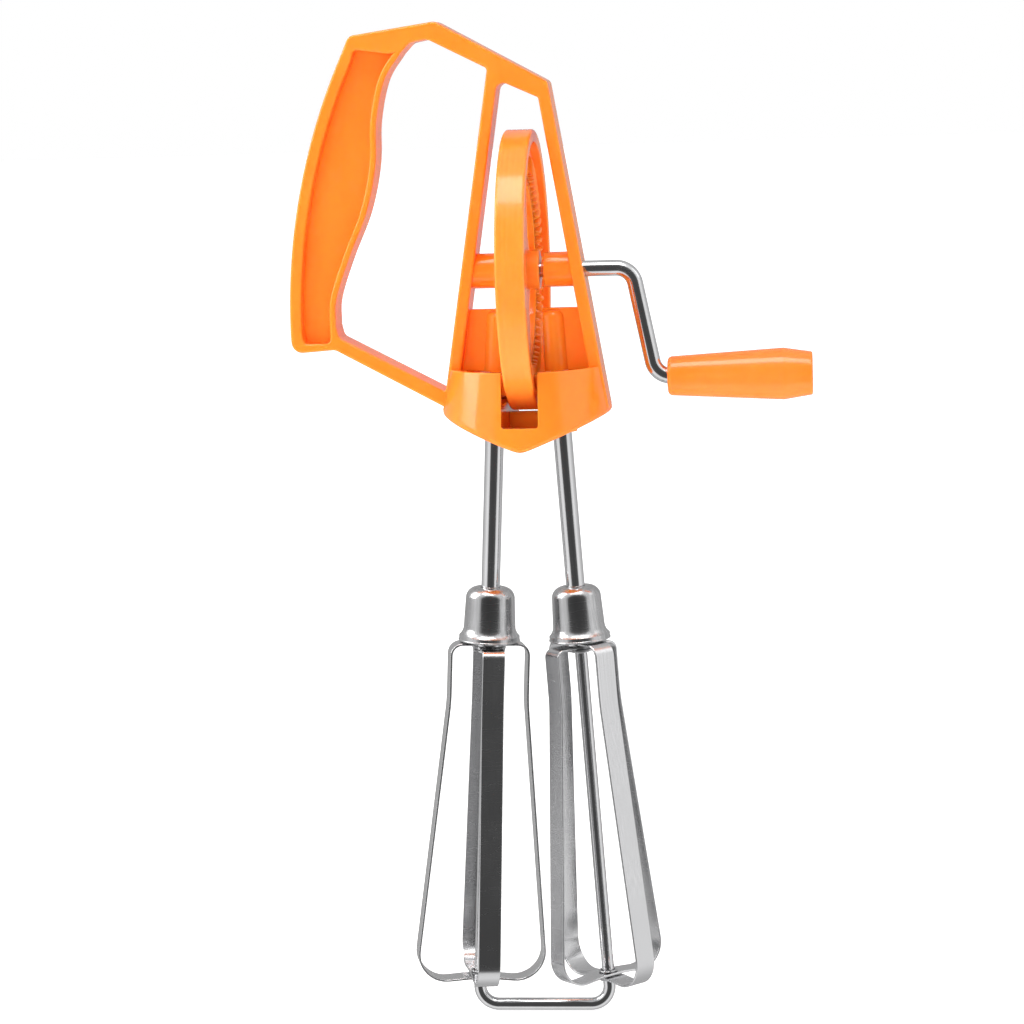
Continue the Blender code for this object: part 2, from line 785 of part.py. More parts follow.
def half_loop(inset):
    """The blade's line on one side of the shaft, moved in by inset, as (radius, z)."""
    top = -BLADE_TOP - inset
    foot = -BLADE_FOOT + inset
    corners = [
        (0, top, 0),
        (BLADE_SHOULDER_X - inset, top, BLADE_SHOULDER_BEND - inset),
        (BLADE_WAIST_X - inset, -BLADE_WAIST, BLADE_WAIST_BEND + inset),
        (BLADE_BELLY_X - inset, -BLADE_LOWEST + inset, BLADE_BELLY_BEND - inset),
        (BLADE_FOOT_HALF, foot, 0),
        (0, foot, 0),
    ]
    return rounded(corners, 6)[1:-1]


def loop_outline(inset):
    """A whole blade loop: down one side and up the other."""
    half = half_loop(inset)
    return half + [Vector((-point.x, point.y)) for point in reversed(half)]


def make_blade_loop(name, shaft, angle, inset):
    """One steel strip bent into a closed loop, with an eye at its top and at its foot."""
    strip = [loop_outline(inset), loop_outline(inset + SHEET)]
    loop = plate(name, strip, BLADE_HALF_WIDTH)
    place(loop, PARTS, shaft, rotation=(0, 0, angle - math.pi / 2))
    top = -BLADE_TOP - inset
    foot = -BLADE_FOOT + inset
    beyond = 1 * MM
    eye = cylinder(name + "_eye", EYE_RADIUS, top, top - SHEET, 32)
    tube_hole = cylinder(
        name + "_tube_hole", TUBE_RADIUS + GAP, top + beyond, top - SHEET - beyond
    )
    eyelet_hole = cylinder(
        name + "_eyelet_hole", EYELET_RADIUS + GAP, foot + SHEET + beyond, foot - beyond
    )
    for cutter in (eye, tube_hole, eyelet_hole):
        place(cutter, CUTTERS, shaft)
    combine(loop, [eye], "UNION")
    combine(loop, [tube_hole, eyelet_hole], "DIFFERENCE")
    finish(loop, POLISHED_BLADE)


def make_eyelet(side, shaft):
    """The rolled eyelet that joins the loops at their foot and turns on the wire."""
    flange = 0.4 * MM
    low = -BLADE_FOOT - GAP
    high = -BLADE_FOOT + 2 * SHEET + 2 * GAP
    bore = WIRE_RADIUS + GAP
    profile = [
        (bore, high + flange),
        (EYELET_FLANGE, high + flange),
        (EYELET_FLANGE, high),
        (EYELET_RADIUS, high),
        (EYELET_RADIUS, low),
        (EYELET_FLANGE, low),
        (EYELET_FLANGE, low - flange),
        (bore, low - flange),
    ]
    eyelet = turned(f"{side}_eyelet", profile, 24, closed=True)
    place(eyelet, PARTS, shaft)
    finish(eyelet, SPRING_STEEL)


def make_guide_wire():
    """Both legs follow the shafts' axes, and the bar joins them below the blades."""

    def leg_x(z):
        return SHAFT_TOP_X - math.tan(SHAFT_LEAN) * z

    top_z = -WIRE_TOP
    top = Vector((leg_x(top_z), top_z))
    corner = Vector((leg_x(WIRE_BAR_Z), WIRE_BAR_Z))
    bend = elbow(top, corner, Vector((-corner.x, corner.y)), WIRE_BEND, 8)
    right = [top, *bend]
    left = [Vector((-point.x, point.y)) for point in reversed(right)]
    wire = bent_rod("guide_wire", right + left, WIRE_RADIUS)
    place(wire, PARTS, CRANK)
    finish(wire, STEEL_ROD)


def make_beater(side, shaft, blade_angle, mesh_direction):
    make_pinion(side, shaft, mesh_direction)
    make_tube(side, shaft)
    make_washers(side, shaft)
    make_ferrule(side, shaft)
    quarter = math.pi / 2
    make_blade_loop(f"{side}_outer_blade_loop", shaft, blade_angle, 0)
    make_blade_loop(f"{side}_inner_blade_loop", shaft, blade_angle + quarter, SHEET + GAP)
    make_eyelet(side, shaft)


clear_scene()
PARTS = new_collection("egg_beater")
CUTTERS = new_collection("cutters")

MOULDED = new_material("frame_plastic", ORANGE, 0.25, 0)
MOULDED_GEAR = new_material("gear_plastic", ORANGE, 0.3, 0)
MOULDED_KNOB = new_material("knob_plastic", ORANGE, 0.25, 0)
PINION_PLASTIC = new_material("pinion_plastic", ORANGE, 0.35, 0)
STEEL_ROD = new_material("rod_steel", BRIGHT_STEEL, 0.15, 1)
POLISHED_TUBE = new_material("tube_steel", BRIGHT_STEEL, 0.12, 1)
POLISHED_BLADE = new_material("blade_steel", BRIGHT_STEEL, 0.2, 1)
DRAWN_STEEL = new_material("ferrule_steel", BRIGHT_STEEL, 0.18, 1)
SPRING_STEEL = new_material("washer_steel", STEEL, 0.35, 1)

CRANK = new_empty("crank_axis", CRANK_AXIS)
KNOB = new_empty("knob_axis", (0, 0, KNOB_AXIS_Z), parent=CRANK)
LEFT_SHAFT = new_empty("left_shaft_axis", (-SHAFT_TOP_X, 0, 0), (0, SHAFT_LEAN, 0), CRANK)
RIGHT_SHAFT = new_empty("right_shaft_axis", (SHAFT_TOP_X, 0, 0), (0, -SHAFT_LEAN, 0), CRANK)

make_frame()
make_gear_wheel()
make_crank()
make_knob()
make_guide_wire()
make_beater("left", LEFT_SHAFT, LEFT_BLADE_ANGLE, 0)
make_beater("right", RIGHT_SHAFT, RIGHT_BLADE_ANGLE, math.pi)
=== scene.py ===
"""The egg beater's looks: a finer piece for every CAD node, its materials, and a plain studio.

Each piece is built in millimetres in its own axis frame, the one its joint turns about:
the crank's axis, the knob's, or a beater shaft's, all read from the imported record.
"""

import json
import math

import bmesh
import bpy
from mathutils import Matrix, Vector


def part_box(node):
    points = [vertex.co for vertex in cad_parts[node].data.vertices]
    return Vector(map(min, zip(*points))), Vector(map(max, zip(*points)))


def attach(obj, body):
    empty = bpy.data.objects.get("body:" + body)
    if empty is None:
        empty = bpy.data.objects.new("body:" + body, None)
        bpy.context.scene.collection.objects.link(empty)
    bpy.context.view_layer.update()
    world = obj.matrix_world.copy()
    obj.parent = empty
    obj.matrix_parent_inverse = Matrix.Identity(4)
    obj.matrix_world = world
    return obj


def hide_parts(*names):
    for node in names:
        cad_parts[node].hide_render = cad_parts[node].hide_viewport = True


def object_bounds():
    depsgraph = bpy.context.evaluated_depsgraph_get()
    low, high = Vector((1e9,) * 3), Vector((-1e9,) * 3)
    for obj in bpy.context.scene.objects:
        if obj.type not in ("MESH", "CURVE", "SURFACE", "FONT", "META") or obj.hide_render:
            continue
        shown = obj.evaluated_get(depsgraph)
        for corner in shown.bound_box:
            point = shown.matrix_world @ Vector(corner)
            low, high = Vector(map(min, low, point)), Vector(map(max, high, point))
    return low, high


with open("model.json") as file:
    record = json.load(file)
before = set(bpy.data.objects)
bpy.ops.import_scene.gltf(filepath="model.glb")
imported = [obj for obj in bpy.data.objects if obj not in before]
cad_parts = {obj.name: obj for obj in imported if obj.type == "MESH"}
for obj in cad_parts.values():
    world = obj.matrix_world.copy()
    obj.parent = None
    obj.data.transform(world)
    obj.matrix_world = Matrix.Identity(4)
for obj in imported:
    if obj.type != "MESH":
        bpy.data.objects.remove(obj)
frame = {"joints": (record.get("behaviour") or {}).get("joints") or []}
cad_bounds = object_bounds()

MM = 0.001
JOINTS = {joint["name"]: joint for joint in frame["joints"]}


def axis_frame(joint):
    """The frame at a joint, its Z along a leaning shaft and upright for crank and knob."""
    place = Matrix.Translation(JOINTS[joint]["pos_m"])
    axis = Vector(JOINTS[joint]["axis"])
    lean = math.atan2(axis.x, axis.z) if axis.z else 0
    return place @ Matrix.Rotation(lean, 4, "Y")


CRANK = axis_frame("crank_turn")
KNOB = axis_frame("knob_spin")
SHAFTS = {"left": axis_frame("left_beater_spin"), "right": axis_frame("right_beater_spin")}
SIDES = {"left": -1, "right": 1}
ALONG_X = Matrix.Rotation(math.pi / 2, 4, "Y")
LEAN = math.atan2(*JOINTS["left_beater_spin"]["axis"][::2])
SHAFT_X = (SHAFTS["right"].translation.x - CRANK.translation.x) / MM


def extent(node, axis):
    """A CAD node's lowest and highest place along an axis, in mm from the crank's axis."""
    low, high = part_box(node)
    start = CRANK.translation[axis]
    return (low[axis] - start) / MM, (high[axis] - start) / MM


# Driving sizes in mm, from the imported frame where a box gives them.
HALF_DEPTH = 7
WHEEL_RADIUS = extent("gear_wheel", 2)[1]
WHEEL_HALF_HUB = extent("gear_wheel", 0)[1]
KNOB_LOW, KNOB_HIGH = extent("crank_knob", 0)
KNOB_X = (KNOB.translation.x - CRANK.translation.x) / MM
ROD_END = extent("crank_rod", 0)[1]
WIRE_LOWEST = extent("guide_wire", 2)[0]
ROD_RADIUS = 2.5
WIRE_RADIUS = 2
TUBE_RADIUS = 3
SHEET = 0.8
GAP = 0.3
ROD_BORE = ROD_RADIUS + GAP
WIRE_BORE = WIRE_RADIUS + GAP
TUBE_HOLE = TUBE_RADIUS + GAP


# ---------------------------------------------------------------- outlines


def arc(centre, radius, start, end, steps):
    points = []
    for step in range(steps + 1):
        angle = start + (end - start) * step / steps
        points.append(Vector(centre) + radius * Vector((math.cos(angle), math.sin(angle))))
    return points


def rounded(corners, steps=6):
    """A closed outline's points, from its corners as (x, z, radius)."""
    points = []
    for index, (x, z, radius) in enumerate(corners):
        corner = Vector((x, z))
        before = (Vector(corners[index - 1][:2]) - corner).normalized()
        after = (Vector(corners[(index + 1) % len(corners)][:2]) - corner).normalized()
        if radius == 0:
            points.append(corner)
            continue
        half_angle = before.angle(after) / 2
        reach = radius / math.tan(half_angle)
        centre = corner + (before + after).normalized() * radius / math.sin(half_angle)
        first = corner + before * reach - centre
        last = corner + after * reach - centre
        turn = first.angle_signed(last)
        start = math.atan2(first.y, first.x)
        points += arc(centre, radius, start, start - turn, steps)
    return points


def smooth_through(points, steps):
    """A Catmull-Rom curve through the points."""
    ends = [2 * points[0] - points[1], *points, 2 * points[-1] - points[-2]]
    curve = []
    for a, b, c, d in zip(ends, ends[1:], ends[2:], ends[3:]):
        for step in range(steps):
            t = step / steps
            middle = (c - a) * t + (2 * a - 5 * b + 4 * c - d) * t**2
            curve.append(b + 0.5 * (middle + (3 * b - 3 * c + d - a) * t**3))
    return curve + [points[-1]]


def moved_aside(points, distance):
    """An open line's points, each moved to the line's left by the distance."""
    moved = []
    for index, point in enumerate(points):
        before = points[max(index - 1, 0)]
        after = points[min(index + 1, len(points) - 1)]
        along = (after - before).normalized()
        moved.append(point + distance * Vector((-along.y, along.x)))
    return moved


# ---------------------------------------------------------------- meshes


def new_object(name, data):
    obj = bpy.data.objects.new(name, data)
    bpy.context.scene.collection.objects.link(obj)
    return obj


def mesh_from(name, edit):
    bmesh.ops.recalc_face_normals(edit, faces=edit.faces)
    mesh = bpy.data.meshes.new(name)
    edit.to_mesh(mesh)
    edit.free()
    return mesh


def evaluated_mesh(obj):
    """An object's mesh with its modifiers applied. The object itself is removed."""
    graph = bpy.context.evaluated_depsgraph_get()
    mesh = bpy.data.meshes.new_from_object(obj.evaluated_get(graph), depsgraph=graph)
    bpy.data.objects.remove(obj)
    return mesh


def plate(name, outlines, half_depth, edge=0.0, edge_steps=3):
    """A flat piece in the XZ plane with rounded edges. Outlines inside the first are holes."""
    curve = bpy.data.curves.new(name, "CURVE")
    curve.dimensions = "2D"
    curve.fill_mode = "BOTH"
    curve.extrude = half_depth - edge
    curve.bevel_depth = edge
    curve.bevel_resolution = edge_steps - 1
    curve.offset = -edge
    for outline in outlines:
        spline = curve.splines.new("POLY")
        spline.points.add(len(outline) - 1)
        for point, (x, z) in zip(spline.points, outline):
            point.co = (x, z, 0, 1)
        spline.use_cyclic_u = True
    mesh = evaluated_mesh(new_object(name, curve))
    edit = bmesh.new()
    edit.from_mesh(mesh)
    bmesh.ops.remove_doubles(edit, verts=edit.verts, dist=0.002)
    bmesh.ops.recalc_face_normals(edit, faces=edit.faces)
    edit.to_mesh(mesh)
    edit.free()
    mesh.transform(Matrix.Rotation(math.pi / 2, 4, "X"))
    return mesh


def lathe(name, profile, steps=96, closed=False):
    """A solid turned about Z from (radius, z) points. Open ends lie on the axis."""
    edit = bmesh.new()
    rings = []
    for radius, z in profile:
        if radius < 1e-6:
            rings.append([edit.verts.new((0, 0, z))])
            continue
        ring = []
        for step in range(steps):
            angle = 2 * math.pi * step / steps
            ring.append(edit.verts.new((radius * math.cos(angle), radius * math.sin(angle), z)))
        rings.append(ring)
    pairs = list(zip(rings, rings[1:]))
    if closed:
        pairs.append((rings[-1], rings[0]))
    for upper, lower in pairs:
        for step in range(steps):
            after = (step + 1) % steps
            corners = [upper[step % len(upper)], upper[after % len(upper)]]
            corners += [lower[after % len(lower)], lower[step % len(lower)]]
            edit.faces.new(list(dict.fromkeys(corners)))
    return mesh_from(name, edit)


def rod_cap(end, near, radius):
    """The shrinking rings past a rod's end, as (point, radius)."""
    out = (end - near).normalized()
    return [(end + out * 0.35, radius * 0.93), (end + out * 0.6, radius * 0.7)]


def rod(name, path, radius, sides=28):
    """A round rod along points of the XZ plane, with rounded ends."""
    edit = bmesh.new()
    rings = []
    lines = rod_cap(path[0], path[1], radius)[::-1]
    lines += [(point, radius) for point in path]
    lines += rod_cap(path[-1], path[-2], radius)
    points = [point for point, _ in lines]
    for index, (point, ring_radius) in enumerate(lines):
        before = points[max(index - 1, 0)]
        after = points[min(index + 1, len(points) - 1)]
        along = (after - before).normalized()
        aside = Vector((-along.y, 0, along.x))
        centre = Vector((point.x, 0, point.y))
        ring = []
        for side in range(sides):
            angle = 2 * math.pi * side / sides
            offset = aside * math.cos(angle) + Vector((0, 1, 0)) * math.sin(angle)
            ring.append(edit.verts.new(centre + ring_radius * offset))
        rings.append(ring)
    for ring, after in zip(rings, rings[1:]):
        for side in range(sides):
            other = (side + 1) % sides
            edit.faces.new((ring[side], ring[other], after[other], after[side]))
    edit.faces.new(rings[0])
    edit.faces.new(rings[-1])
    return mesh_from(name, edit)


def boolean(mesh, others, operation):
    """The mesh joined with others, or with them cut away."""
    obj = new_object(mesh.name, mesh)
    tools = [new_object(other.name, other) for other in others]
    for tool in tools:
        modifier = obj.modifiers.new(tool.name, "BOOLEAN")
        modifier.operation = operation
        modifier.solver = "EXACT"
        modifier.object = tool
    result = evaluated_mesh(obj)
    for tool in tools:
        bpy.data.objects.remove(tool)
    edit = bmesh.new()
    edit.from_mesh(result)
    bmesh.ops.remove_doubles(edit, verts=edit.verts, dist=0.004)
    bmesh.ops.dissolve_degenerate(edit, edges=edit.edges, dist=0.001)
    edit.to_mesh(result)
    edit.free()
    return result


def moved(mesh, matrix):
    mesh.transform(matrix)
    return mesh


def joined(name, meshes):
    edit = bmesh.new()
    for mesh in meshes:
        edit.from_mesh(mesh)
    mesh = bpy.data.meshes.new(name)
    edit.to_mesh(mesh)
    edit.free()
    return mesh


def piece(name, mesh, place, body, material, nodes, sharp=38):
    """Put a finished mesh, made in mm, in its place instead of its CAD nodes."""
    mesh.transform(Matrix.Scale(MM, 4))
    mesh.materials.clear()
    mesh.materials.append(material)
    mesh.shade_smooth()
    mesh.set_sharp_from_angle(angle=math.radians(sharp))
    obj = new_object(name, mesh)
    obj.matrix_world = place
    normals = obj.modifiers.new("even_normals", "WEIGHTED_NORMAL")
    normals.keep_sharp = True
    normals.weight = 80
    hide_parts(*nodes)
    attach(obj, body)
    return obj


# ---------------------------------------------------------------- materials


class Nodes:
    """A small builder of shader nodes."""

    def __init__(self, name):
        self.material = bpy.data.materials.new(name)
        self.material.use_nodes = True
        self.tree = self.material.node_tree
        self.shader = self.tree.nodes["Principled BSDF"]
        self.place = self.add("ShaderNodeTexCoord").outputs["Object"]

    def add(self, kind, **values):
        node = self.tree.nodes.new(kind)
        for key, value in values.items():
            setattr(node, key, value)
        return node

    def link(self, output, socket):
        self.tree.links.new(output, socket)

    def set(self, **values):
        for key, value in values.items():
            self.shader.inputs[key.replace("_", " ")].default_value = value

    def stretched(self, scale):
        mapping = self.add("ShaderNodeMapping")
        mapping.inputs["Scale"].default_value = scale
        self.link(self.place, mapping.inputs["Vector"])
        return mapping.outputs["Vector"]

    def noise(self, scale, detail=4.0, vector=None, roughness=0.5):
        node = self.add("ShaderNodeTexNoise")
        node.inputs["Scale"].default_value = scale
        node.inputs["Detail"].default_value = detail
        node.inputs["Roughness"].default_value = roughness
        self.link(vector or self.place, node.inputs["Vector"])
        return node.outputs["Fac"]

    def ramp(self, value, low, high, to_low=0.0, to_high=1.0):
        node = self.add("ShaderNodeMapRange")
        node.inputs["From Min"].default_value = low
        node.inputs["From Max"].default_value = high
        node.inputs["To Min"].default_value = to_low
        node.inputs["To Max"].default_value = to_high
        self.link(value, node.inputs["Value"])
        return node.outputs["Result"]

    def math(self, operation, first, second):
        node = self.add("ShaderNodeMath", operation=operation)
        for socket, value in zip(node.inputs, (first, second)):
            if isinstance(value, (int, float)):
                socket.default_value = value
            else:
                self.link(value, socket)
        return node.outputs[0]

    def mix(self, fac, first, second):
        node = self.add("ShaderNodeMix", data_type="RGBA")
        self.link(fac, node.inputs["Factor"])
        colours = [item for item in node.inputs if item.type == "RGBA"]
        for socket, value in zip(colours, (first, second)):
            if isinstance(value, tuple):
                socket.default_value = (*value, 1)
            else:
                self.link(value, socket)
        return next(item for item in node.outputs if item.type == "RGBA")

    def bump(self, height, distance, strength=1.0, normal=None):
        node = self.add("ShaderNodeBump")
        node.inputs["Distance"].default_value = distance
        node.inputs["Strength"].default_value = strength
        self.link(height, node.inputs["Height"])
        if normal:
            self.link(normal, node.inputs["Normal"])
        return node.outputs["Normal"]


def scratches(nodes, scale, stretch, amount, turn):
    """Fine hairlines: thin bands of a stretched noise, running one way."""
    mapping = nodes.add("ShaderNodeMapping")
    mapping.inputs["Rotation"].default_value = turn
    mapping.inputs["Scale"].default_value = stretch
    nodes.link(nodes.place, mapping.inputs["Vector"])
    field = nodes.noise(scale, 2.0, mapping.outputs["Vector"])
    middle = nodes.math("ABSOLUTE", nodes.math("SUBTRACT", field, 0.5), 0)
    return nodes.ramp(middle, 0.0, amount, 1.0, 0.0)


def plastic(name, base, deep, roughness, flow=(1, 1, 1)):
    """Glossy moulded plastic: streaked pigment, orange-peel skin, scratches, rubbed patches."""
    nodes = Nodes(name)
    streaks = nodes.noise(60, 5.0, nodes.stretched(flow), 0.6)
    tone = nodes.mix(nodes.ramp(streaks, 0.3, 0.7), deep, base)
    rubbed = nodes.math("MULTIPLY", nodes.ramp(nodes.noise(130, 5.0), 0.56, 0.72), 0.07)
    pale = tuple(min(1.0, channel * 1.05 + 0.06) for channel in base)
    nodes.link(nodes.mix(rubbed, tone, pale), nodes.shader.inputs["Base Color"])
    along = scratches(nodes, 90, (1, 1, 9), 0.012, (0.3, 0.9, 0.5))
    across = scratches(nodes, 120, (8, 1, 1), 0.01, (0.7, 0.2, 1.4))
    lines = nodes.math("MAXIMUM", along, across)
    patches = nodes.ramp(nodes.noise(35, 3.0), 0.35, 0.75, roughness - 0.02, roughness + 0.05)
    rough = nodes.math("ADD", patches, nodes.math("MULTIPLY", lines, 0.1))
    rough = nodes.math("ADD", rough, nodes.math("MULTIPLY", rubbed, 0.3))
    nodes.link(rough, nodes.shader.inputs["Roughness"])
    peel = nodes.bump(nodes.noise(250, 2.0), 0.00001, 0.4)
    nodes.link(nodes.bump(lines, 0.000002, 0.1, peel), nodes.shader.inputs["Normal"])
    nodes.set(IOR=1.5, Subsurface_Weight=0.6, Subsurface_Scale=0.006)
    nodes.shader.inputs["Subsurface Radius"].default_value = (1.0, 0.35, 0.1)
    return nodes.material


def steel(name, tone, roughness, stretch, line_scale, depth, spread=0.06, shade=0.86):
    """Polished steel with the lines of its drawing or rolling, smears and a few scratches."""
    nodes = Nodes(name)
    lines = nodes.noise(line_scale, 3.0, nodes.stretched(stretch), 0.7)
    smears = nodes.noise(45, 4.0)
    dark = tuple(channel * shade for channel in tone)
    worn = nodes.math("MULTIPLY", nodes.ramp(lines, 0.35, 0.65), nodes.ramp(smears, 0.3, 0.7))
    nodes.link(nodes.mix(worn, dark, tone), nodes.shader.inputs["Base Color"])
    cross = scratches(nodes, 45, (1, 1, 7), 0.003, (0.5, 1.1, 0.2))
    rough = nodes.ramp(smears, 0.3, 0.75, roughness - spread / 2, roughness + spread)
    rough = nodes.math("ADD", rough, nodes.math("MULTIPLY", cross, 0.12))
    nodes.link(rough, nodes.shader.inputs["Roughness"])
    grain = nodes.bump(lines, 0.00003, depth)
    nodes.link(nodes.bump(cross, 0.000005, 0.3, grain), nodes.shader.inputs["Normal"])
    nodes.set(Metallic=1.0)
    return nodes.material


ORANGE = (0.93, 0.235, 0.022)
ORANGE_DEEP = (0.9, 0.2, 0.016)
GEAR = (0.94, 0.26, 0.034)
GEAR_DEEP = (0.92, 0.225, 0.026)
KNOB_ORANGE = (0.93, 0.22, 0.03)
STEEL = (0.79, 0.79, 0.8)

FRAME_PLASTIC = plastic("frame_orange", ORANGE, ORANGE_DEEP, 0.11, (1, 1, 0.4))
GEAR_PLASTIC = plastic("gear_orange", GEAR, GEAR_DEEP, 0.13)
KNOB_PLASTIC = plastic("knob_orange", KNOB_ORANGE, ORANGE_DEEP, 0.13, (1, 1, 0.3))
PINION_PLASTIC = plastic("pinion_orange", ORANGE, ORANGE_DEEP, 0.3)
ROD_STEEL = steel("rod_steel", STEEL, 0.12, (1, 1, 1), 350, 0.15)
TUBE_STEEL = steel("tube_steel", STEEL, 0.13, (1, 1, 0.02), 2400, 0.35)
FERRULE_STEEL = steel("ferrule_steel", STEEL, 0.24, (1, 1, 0.08), 950, 1.0, 0.1, 0.6)
BLADE_STEEL = steel("blade_steel", (0.74, 0.74, 0.75), 0.2, (1, 1, 0.01), 2600, 0.5, 0.08)
WASHER_STEEL = steel("washer_steel", (0.7, 0.7, 0.71), 0.25, (1, 1, 1), 400, 0.4)


# ---------------------------------------------------------------- frame

# Sizes and heights in mm from the crank's axis.
GRIP_BACK_CENTRE = Vector((122, -16))
GRIP_BACK_RADIUS = 196
WEB_TOP = -12
CUP_TOP = -30.3
CUP_TOP_RADIUS = 24.4
CUP_SLOPE = 0.177
CUP_CORNER = -44.5
CUP_TIP = -55.2
CUP_WALL = 2
CUP_LIP_RADIUS = 0.5
WEB_HALF = 1.25
WEB_SINK = 0.8
SLOT_HALF_WIDTH = 5.75
SLOT_HALF_DEPTH = 32
SLOT_FLOOR = -47.4
WELL_CLEARANCE = 0.6
WELL_RIB = (5.72, 6.6)
WELL_RIB_TOP = -41.3

# Round parts of the frame as (radius, low, high, edge), each along its own axis.
CRANK_BOSS = (5.5, -17.2, -6.6, 0.5)
WIRE_POST = (3.8, -32.6, -12.7, 2.4)
TUBE_BUSH = (4.8, -51.5, -39.8, 0.1)

# Spaces round each shaft as (name, radius, low, high).
SHAFT_SPACES = (
    ("pinion_space", 9.2, -40.2, -31.8),
    ("tube_bore", TUBE_HOLE, -60, -37),
    ("wire_bore", WIRE_BORE, -35, -15.3),
)


def strut_outer(z):
    """Half the width over the struts' outer faces, which spread towards the foot."""
    return 19.2 - 0.161 * z


def strut_inner(z):
    """Half the width between the struts."""
    return 15.3 - 0.16 * z


def grip_back(rim, bottom_z, top_z):
    """The grip's long back curve, moved in by the rim, from the bottom up."""
    radius = GRIP_BACK_RADIUS - rim
    low = math.pi - math.asin((bottom_z - GRIP_BACK_CENTRE.y) / radius)
    high = math.pi - math.asin((top_z - GRIP_BACK_CENTRE.y) / radius)
    return arc(GRIP_BACK_CENTRE, radius, low, high, 40)


def finger_edge():
    """The grip's S-shaped front edge, from the top down."""
    knots = ((-36, 68.6), (-41.2, 60.6), (-44.2, 48), (-45, 34), (-48.4, 19.4))
    knots += ((-54.4, 5.3), (-58.9, -7.5), (-59.4, -16))
    return smooth_through([Vector(knot) for knot in knots], 8)


def frame_outline():
    """The frame's outer outline: up the grip's back, over the top, and round the foot."""
    back = grip_back(0, -20, 69)
    corner = Vector((strut_outer(CUP_CORNER), CUP_CORNER + 1))
    rest = rounded(
        [
            (*back[-1], 0),
            (-52.2, 74.5, 3),
            (-25, 78.2, 3),
            (strut_outer(58.7), 58.7, 2),
            (*corner, 0.8),
            (0, CUP_TIP + 1, 2),
            (-corner.x, corner.y, 0.8),
            (-strut_outer(-42.1), -42.1, 0),
            (-60, -23.5, 3),
            (-73.4, -24.4, 3.4),
            (*back[0], 0),
        ]
    )
    return back + rest[1:-1]


def hand_opening():
    """The opening between the grip and the left strut."""
    rest = rounded(
        [
            (-59.4, -16, 0),
            (-58.6, -19.6, 2.4),
            (-strut_outer(-36.9), -37.4, 0.8),
            (-strut_outer(63.2), 63.2, 1.2),
            (-27.6, 72.8, 4),
            (-33, 71.8, 3),
            (-36, 68.6, 0),
        ]
    )
    return finger_edge()[:-1] + rest[:-1]


def grip_recess(grow=0.0):
    """The channel in each side of the grip."""
    back = grip_back(3.6 - grow, -17, 66)
    front = moved_aside(finger_edge(), grow - 2)
    high, low = 68.6 + grow, -21.4 - grow
    top = rounded(
        [(*back[-1], 0), (-50.6, 70.2 + grow, 1.2), (-40 + grow, high, 1.4), (*front[1], 0)]
    )
    foot = rounded([(*front[-1], 0), (-61.3, low, 1.6), (-69.9, low, 1.6), (*back[0], 0)])
    return back + top[1:-1] + front[1:] + foot[1:-1]


def between_struts(grow=0.0, top=None):
    """The space between the struts, from the wheel bay's top down into the housing."""
    low = -43
    floor = [
        (strut_inner(low) + grow, low, 1),
        (0, CUP_TIP + 4 - grow, 2),
        (-strut_inner(low) - grow, low, 1),
    ]
    if top is not None:
        reach = strut_inner(top) + grow
        return rounded([(-reach, top, 0.8), (reach, top, 0.8), *floor])
    return rounded([(-strut_inner(58.9), 59.6, 2.4), (strut_inner(53.8), 53.8, 1), *floor])


def housing_floor(x):
    """The V-shaped floor's height, its ridge rounded."""
    soft = 1.6
    slope = (CUP_CORNER - CUP_TIP) / strut_outer(CUP_CORNER)
    return CUP_TIP + slope * (math.sqrt(x * x + soft * soft) - soft * 0.6)


def housing_line(angle, inset):
    """(radius, z) points down the cup's side at an azimuth, round its corner and to its middle."""
    across = abs(math.cos(angle))

    def side(z):
        return CUP_TOP_RADIUS + CUP_SLOPE * (CUP_TOP - z) - inset

    def floor(radius):
        return housing_floor(radius * across) + inset

    z = CUP_CORNER
    for _ in range(30):
        z = floor(side(z))
    corner = Vector((side(z), z))
    inner = 0.8 * corner.x
    bend = rounded(
        [
            (side(CUP_TOP), CUP_TOP, 0),
            (*corner, 1.5 - inset / 4),
            (inner, floor(inner), 0),
        ],
        5,
    )[1:-1]
    lip = CUP_TOP - CUP_LIP_RADIUS
    heights = [lip + (corner.y + 2 - lip) * t for t in (0, 0.5, 1)]
    radii = [inner * t for t in (1, 0.8, 0.6, 0.42, 0.27, 0.15, 0.07)]
    down = [Vector((side(z), z)) for z in heights]
    return down + bend + [Vector((radius, floor(radius))) for radius in radii]


def housing(steps=144):
    """The cup: a skin of even wall with a rounded lip, lofted round its axis."""
    edit = bmesh.new()
    columns = []
    for step in range(steps):
        angle = 2 * math.pi * step / steps
        outside = housing_line(angle, 0)
        inside = housing_line(angle, CUP_WALL)
        soft = CUP_LIP_RADIUS
        height = CUP_TOP - soft
        lip = arc((inside[0].x + soft, height), soft, math.pi, math.pi / 2, 4)[1:-1]
        lip += arc((outside[0].x - soft, height), soft, math.pi / 2, 0, 4)[1:-1]
        line = inside[::-1] + lip + outside
        ring = Vector((math.cos(angle), math.sin(angle)))
        columns.append([edit.verts.new((ring.x * p.x, ring.y * p.x, p.y)) for p in line])
    count = len(columns[0])
    for step in range(steps):
        now, after = columns[step], columns[(step + 1) % steps]
        for row in range(count - 1):
            edit.faces.new((now[row], now[row + 1], after[row + 1], after[row]))
    for row, z in ((0, housing_floor(0) + CUP_WALL), (-1, housing_floor(0))):
        middle = edit.verts.new((0, 0, z))
        for step in range(steps):
            edit.faces.new((middle, columns[step][row], columns[(step + 1) % steps][row]))
    return mesh_from("housing", edit)


